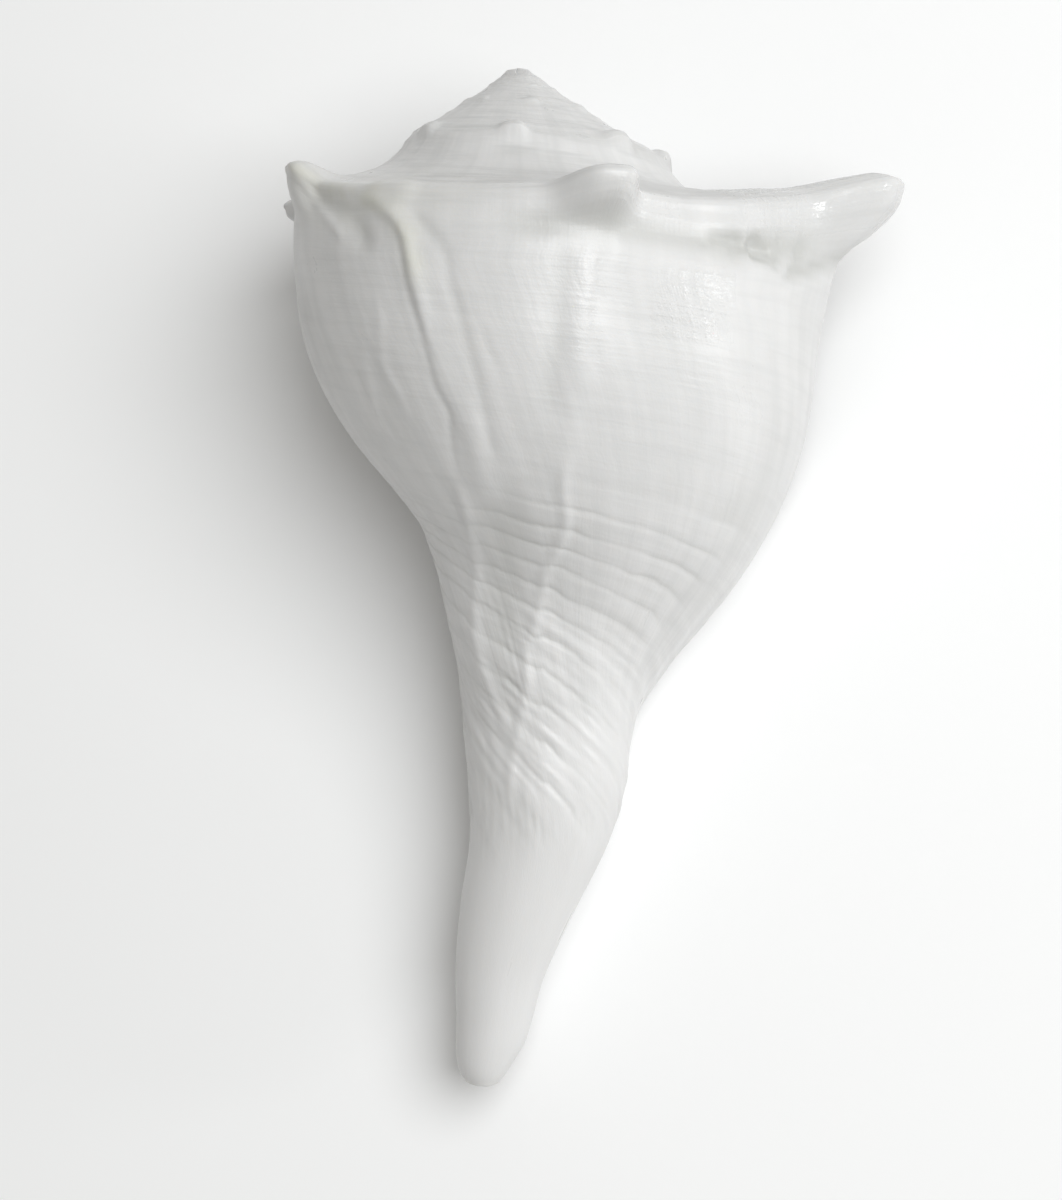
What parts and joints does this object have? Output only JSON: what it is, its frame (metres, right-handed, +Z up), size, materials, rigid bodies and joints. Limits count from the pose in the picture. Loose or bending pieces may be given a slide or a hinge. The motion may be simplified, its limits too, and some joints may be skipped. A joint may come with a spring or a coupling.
{
  "type": "conch shell",
  "caption": "White left-handed whelk shell lying on its mouth, with a low knobbed spire, a blunt shoulder spine and a long tapering canal.",
  "frame": {"origin": "on the ground, under the middle of the shell's box", "axes": "+Z up, the shell's back on top; +Y towards the spire's apex; +X towards the large spine and the lip"},
  "size_m": [0.1232, 0.1984, 0.0887],
  "materials": {
    "shell": "bleached white shell, smooth matt to satin"
  },
  "bodies": {
    "root": {"conch_shell": "shell"}
  },
  "joints": []
}
